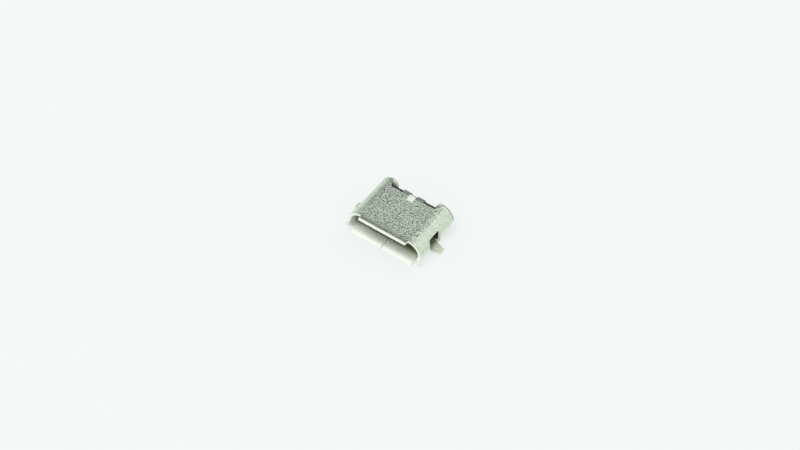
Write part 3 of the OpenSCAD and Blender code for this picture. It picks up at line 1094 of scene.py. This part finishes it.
def mould_tongue(m):
    """The tongue, with a bevelled front."""
    low, high = m.tongue_bottom, m.tongue_bottom + m.tongue_h
    tongue = start_piece(
        "tongue", add_unit_cube,
        (-m.tongue_half, m.tongue_y, low), (m.tongue_half, m.block_y + WELD, high),
    )
    slice_off((0, m.tongue_y + m.tongue_bevel, low), (0, -1, -1))
    slice_off((0, m.tongue_y + m.tongue_bevel, high), (0, -1, 1))
    return tongue


def box_pieces(s, m):
    """Plain boxes that the block gains, and those that it loses, as pairs of corners."""
    gained = [
        ((-m.heel_half, s.floor_d + m.fit, 0), (m.heel_half, m.block_d, s.wall_bottom)),
    ]
    for side in (-1, 1):
        ends = sorted((side * s.flap_inner, side * s.flap_end))
        gained.append((
            (ends[0], m.block_d - WELD, s.wall_bottom),
            (ends[1], s.flap_front - m.fit, s.wall_top),
        ))
    lost = []
    for side in (-1, 1):
        ends = sorted((side * (s.slot_half - m.fit), side * (s.crimp_end_x + m.fit)))
        lost.append((
            (ends[0], s.roof_d + s.crimp_run - m.fit, m.crimp_floor),
            (ends[1], s.flap_d, s.roof_z),
        ))
    for node in CONTACT_NODES:
        low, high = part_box(node)
        lost.append((
            (low.x / MM - m.fit, low.y / MM - m.fit, m.contact_bottom - m.fit),
            (high.x / MM + m.fit, s.flap_d, high.z / MM + m.fit),
        ))
    return gained, lost


def insulator_layout(s, m, contacts):
    """Adds the places on the insulator to its sizes, in millimetres."""
    m.tongue_y = INSULATOR_LOW.y / MM
    m.tongue_bottom = s.roof_z - s.sheet - m.tongue_gap - m.tongue_h
    m.block_d = s.roof_d + m.block_past_roof
    m.heel_half = s.floor_half - m.heel_inset
    crimp_drop = s.rear_bend_r * (1 - math.cos(s.crimp_angle)) + s.crimp_end * math.sin(s.crimp_angle)
    m.crimp_floor = s.roof_z - s.sheet - crimp_drop - m.fit
    m.contact_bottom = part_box(CONTACT_NODES[0])[1].z / MM - contacts.thick
    return m


class SOCKET_OT_mould_insulator(bpy.types.Operator):
    """Mould the insulator: its block, tongue, heel and rear corners, with room for tabs and contacts"""

    bl_idname = "socket.mould_insulator"
    bl_label = "Mould Insulator"

    def execute(self, context):
        scene = context.scene
        s = shell_layout(in_millimetres(scene.socket_shell))
        contacts = in_millimetres(scene.socket_contacts)
        m = insulator_layout(s, in_millimetres(scene.socket_insulator), contacts)
        block = mould_block(s, m)
        combine(block, mould_tongue(m), "UNION")
        gained, lost = box_pieces(s, m)
        for low, high in gained:
            combine(block, start_piece("gain", add_unit_cube, low, high), "UNION")
        for low, high in lost:
            combine(block, start_piece("loss", add_unit_cube, low, high), "DIFFERENCE")
        block.data.materials.clear()
        block.data.materials.append(black_plastic(scene.socket_finishes))
        soften(block, m.edge_round)
        hand_over(block, "insulator")
        return {"FINISHED"}


# Contact strips


def form_contact(node, c, block_d):
    """Forms one contact strip: along the tongue, through the block, down and out into a flat tail."""
    low, high = (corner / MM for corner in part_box(node))
    strip = start_piece(
        node.replace("contact", "contact_strip"), add_unit_plane,
        (low.x, low.y, high.z), (high.x, block_d, high.z),
    )
    edit()
    edge = FreeEdge(lambda p: near(p.y, block_d), (0, block_d, high.z), (0, 1, 0), (0, 0, -1))
    edge.bend(c.bend_r + c.thick, math.pi / 2)
    edge.run(edge.point.z - c.thick - c.bend_r)
    edge.bend(c.bend_r, math.pi / 2, inwards=False)
    edge.run(high.y - edge.point.y)
    pick("EDGE", lambda p: near(p.y, low.y))
    width = high.x - low.x
    bpy.ops.transform.resize(
        value=((width - 2 * c.tip_taper) / width, 1, 1),
        center_override=((low.x + high.x) / 2, low.y, high.z),
    )
    leave_edit()
    face_upwards(strip, lambda p: near(p.z, high.z))
    apply_modifier(strip, "SOLIDIFY", thickness=c.thick, offset=-1, use_even_offset=True)
    return strip


class SOCKET_OT_form_contacts(bpy.types.Operator):
    """Form the five contact strips"""

    bl_idname = "socket.form_contacts"
    bl_label = "Form Contacts"

    def execute(self, context):
        scene = context.scene
        s = shell_layout(in_millimetres(scene.socket_shell))
        c = in_millimetres(scene.socket_contacts)
        block_d = s.roof_d + in_millimetres(scene.socket_insulator).block_past_roof
        gold = gold_plate(scene.socket_finishes)
        for node in CONTACT_NODES:
            strip = form_contact(node, c, block_d)
            strip.data.materials.append(gold)
            soften(strip, c.edge_round)
            hand_over(strip, node)
        return {"FINISHED"}


# Stage


def lay_floor(stage, finishes):
    """A wide pale floor under the socket's lowest edge."""
    bpy.ops.object.select_all(action="DESELECT")
    bpy.ops.mesh.primitive_plane_add(size=stage.floor_w, location=(0, 0, SHELL_LOW.z))
    floor = bpy.context.object
    floor.name = "floor"
    bpy.ops.object.transform_apply(location=True, rotation=True, scale=True)
    floor.data.materials.append(pale_card(finishes))


def hang_lamp(stage):
    """A soft square lamp that faces the socket, and that the metal doesn't mirror."""
    bpy.ops.object.light_add(type="AREA", location=stage.lamp_place)
    lamp = bpy.context.object
    lamp.name = "front_lamp"
    lamp.data.shape = "SQUARE"
    lamp.data.size = stage.lamp_w
    lamp.data.energy = stage.lamp_power
    lamp.visible_glossy = False
    lamp.rotation_euler = (-Vector(stage.lamp_place)).to_track_quat("-Z", "Y").to_euler()


def light_world(stage):
    """A white light tent, brightest overhead, with a darker corner that the roof shows."""
    # Brightness by the cosine of the angle to the darker corner's middle
    corner_stops = ((0.77, 1.0), (0.9, 0.84), (0.97, 0.3))
    # Heights on the tent's sphere between which it gets brighter, and how bright it is there
    overhead_rise, overhead_levels = (0.7, 0.95), (1, 1.12)

    world = bpy.data.worlds.new("light_tent")
    bpy.context.scene.world = world
    world.use_nodes = True
    tree = world.node_tree
    background = tree.nodes["Background"]
    place = tree.nodes.new("ShaderNodeTexCoord").outputs["Generated"]
    nearness = tree.nodes.new("ShaderNodeVectorMath")
    nearness.operation = "DOT_PRODUCT"
    tree.links.new(place, nearness.inputs[0])
    nearness.inputs[1].default_value = Vector(stage.corner_heading).normalized()
    corner = add_levels(tree, nearness.outputs["Value"], corner_stops)
    overhead = add_range(tree, add_axes(tree, place)["Z"], overhead_rise, overhead_levels)
    tree.links.new(corner, background.inputs["Color"])
    tree.links.new(overhead, background.inputs["Strength"])


def place_camera(stage):
    """Aims the camera at the socket from its right front, high up."""
    back = Vector((
        math.sin(stage.azimuth) * math.cos(stage.elevation),
        -math.cos(stage.azimuth) * math.cos(stage.elevation),
        math.sin(stage.elevation),
    ))
    turn = back.to_track_quat("Z", "Y") @ Quaternion((0, 0, 1), stage.roll)
    right, up = turn @ Vector((1, 0, 0)), turn @ Vector((0, 1, 0))
    target = Vector((0, stage.target_y, stage.target_z)) + right * stage.shift_right - up * stage.shift_down
    bpy.ops.object.camera_add(location=target + back * stage.distance, rotation=turn.to_euler())
    camera = bpy.context.object
    camera.name = "camera"
    camera.data.lens = stage.lens
    camera.data.sensor_width = stage.sensor_w
    camera.data.clip_start = stage.nearest
    camera.data.clip_end = stage.farthest
    bpy.context.scene.camera = camera


class SOCKET_OT_set_stage(bpy.types.Operator):
    """Lay the floor, light the socket softly and place the camera"""

    bl_idname = "socket.set_stage"
    bl_label = "Set Stage"

    def execute(self, context):
        scene = context.scene
        stage = scene.socket_stage
        lay_floor(stage, scene.socket_finishes)
        light_world(stage)
        hang_lamp(stage)
        place_camera(stage)
        scene.view_settings.view_transform = "Standard"
        return {"FINISHED"}


# Panel and registration


class SOCKET_PT_pieces(bpy.types.Panel):
    """Buttons that make the socket's pieces"""

    bl_label = "Micro USB Socket"
    bl_space_type = "VIEW_3D"
    bl_region_type = "UI"
    bl_category = "Socket"

    def draw(self, context):
        for operator in OPERATORS:
            self.layout.operator(operator.bl_idname)
        for group in GROUPS:
            values = getattr(context.scene, group)
            column = self.layout.column(align=True)
            for key in values.__annotations__:
                column.prop(values, key)


OPERATORS = (SOCKET_OT_fold_shell, SOCKET_OT_mould_insulator, SOCKET_OT_form_contacts, SOCKET_OT_set_stage)
GROUPS = {
    "socket_shell": ShellSizes,
    "socket_insulator": InsulatorSizes,
    "socket_contacts": ContactSizes,
    "socket_finishes": Finishes,
    "socket_stage": StageSizes,
}


def register():
    for cls in (*GROUPS.values(), *OPERATORS, SOCKET_PT_pieces):
        bpy.utils.register_class(cls)
    for name, group in GROUPS.items():
        setattr(bpy.types.Scene, name, bpy.props.PointerProperty(type=group))


def unregister():
    for name in GROUPS:
        delattr(bpy.types.Scene, name)
    for cls in (SOCKET_PT_pieces, *OPERATORS[::-1], *GROUPS.values()):
        bpy.utils.unregister_class(cls)


def main():
    register()
    bpy.ops.socket.fold_shell()
    bpy.ops.socket.mould_insulator()
    bpy.ops.socket.form_contacts()
    bpy.ops.socket.set_stage()


if __name__ == "__main__":
    main()
